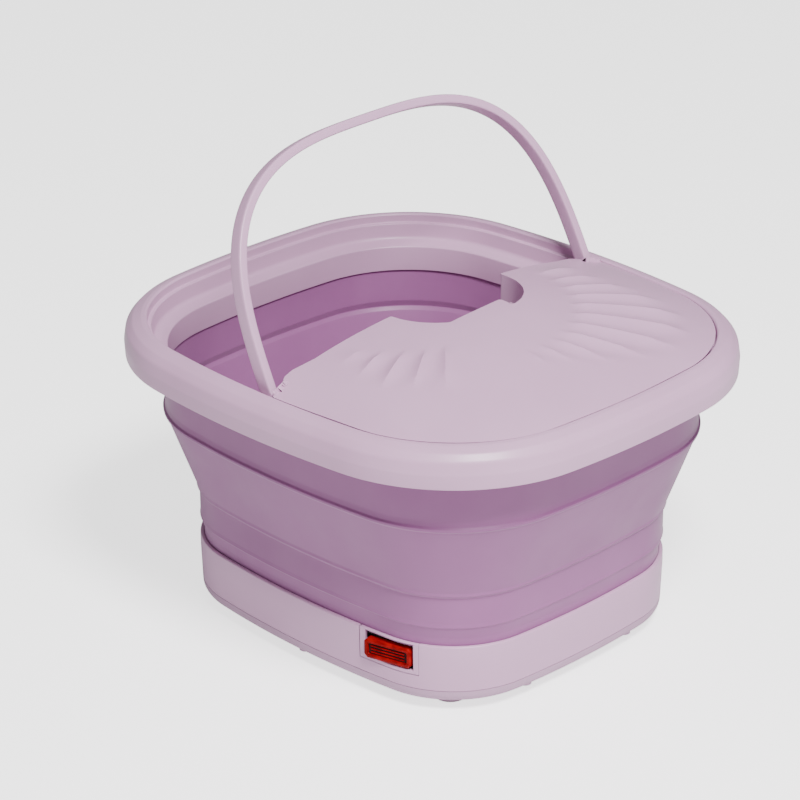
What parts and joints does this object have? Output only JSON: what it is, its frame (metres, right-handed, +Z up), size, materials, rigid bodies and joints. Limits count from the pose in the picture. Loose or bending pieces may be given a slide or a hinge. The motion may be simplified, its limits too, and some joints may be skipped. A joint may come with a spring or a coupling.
{
  "type": "foot spa basin",
  "caption": "Collapsible foot spa basin with a rounded rigid rim, folding soft wall, half lid with leg bays, arched carrying handle and base with rocker switch.",
  "frame": {"origin": "centre of the footprint on the ground plane under the four feet", "axes": "+X along the length towards the covered end, +Y across the width, +Z up"},
  "size_m": [0.411, 0.371, 0.3661],
  "materials": {
    "shell_plastic": "satin moulded lilac plastic",
    "bottom_plastic": "fine-grained lilac plastic",
    "soft_wall": "satin mauve soft elastomer",
    "pan_plastic": "satin moulded lilac plastic",
    "foot_rubber": "matte lilac rubber",
    "screw_steel": "plated steel",
    "axle_plastic": "white engineering plastic",
    "roller_plastic": "satin lilac plastic",
    "switch_red": "translucent red",
    "switch_black": "fine-grained black",
    "contact_brass": "plated brass",
    "heater_metal": "cast aluminium",
    "board_green": "coated glass-fibre board",
    "component_dark": "moulded parts",
    "pump_housing": "moulded housing",
    "tube_silicone": "translucent silicone"
  },
  "bodies": {
    "base": {"base_shell": "shell_plastic", "base_plate": "bottom_plastic", "feet": "foot_rubber", "base_screws": "screw_steel", "flange_screws": "screw_steel", "basin_pan": "pan_plastic", "bubble_strip": "pan_plastic", "roller_axles": "axle_plastic", "air_pump": "pump_housing", "pump_pads": "foot_rubber", "air_tube": "tube_silicone", "heater_plate": "heater_metal", "temperature_sensor": "component_dark", "control_board": "board_green", "board_screws": "screw_steel", "board_components": "component_dark", "switch_bezel": "shell_plastic", "switch_body": "switch_black", "switch_terminals": "contact_brass", "power_inlet": "switch_black", "inlet_pins": "contact_brass", "sleeve_lower": "soft_wall", "sleeve_fold": "soft_wall"},
    "rim": {"rim_collar": "shell_plastic", "sleeve_upper": "soft_wall", "rim_clamp_ring": "bottom_plastic", "rim_screws": "screw_steel", "handle_pivots": "axle_plastic"},
    "handle": {"handle_bail": "shell_plastic"},
    "lid_cover": {"lid": "shell_plastic"},
    "roller_a": {"roller_1": "roller_plastic"},
    "roller_b": {"roller_2": "roller_plastic"},
    "roller_c": {"roller_3": "roller_plastic"},
    "roller_d": {"roller_4": "roller_plastic"},
    "rocker": {"switch_rocker": "switch_red"}
  },
  "joints": [
    {"name": "collapse", "type": "slide", "parent": "base", "child": "rim", "axis": [0, 0, 1], "range_m": [-0.1232, 0], "deforming": ["sleeve_fold"]},
    {"name": "handle_swing", "type": "hinge", "parent": "rim", "child": "handle", "pos_m": [0.007, 0, 0.214], "axis": [0, 1, 0], "range_deg": [-58, 26.7]},
    {"name": "lid_lift", "type": "slide", "parent": "rim", "child": "lid_cover", "axis": [0, 0, 1], "range_m": [0, 0.18]},
    {"name": "roller_a_spin", "type": "hinge", "parent": "base", "child": "roller_a", "pos_m": [0.05, -0.055, 0.051], "axis": [0, 1, 0], "continuous": true},
    {"name": "roller_b_spin", "type": "hinge", "parent": "base", "child": "roller_b", "pos_m": [0.086, -0.055, 0.051], "axis": [0, 1, 0], "continuous": true},
    {"name": "roller_c_spin", "type": "hinge", "parent": "base", "child": "roller_c", "pos_m": [0.05, 0.055, 0.051], "axis": [0, 1, 0], "continuous": true},
    {"name": "roller_d_spin", "type": "hinge", "parent": "base", "child": "roller_d", "pos_m": [0.086, 0.055, 0.051], "axis": [0, 1, 0], "continuous": true},
    {"name": "switch_rock", "type": "hinge", "parent": "base", "child": "rocker", "pos_m": [0.08511, -0.12332, 0.0395], "axis": [0, 0, 1], "range_deg": [-10, 0]}
  ]
}
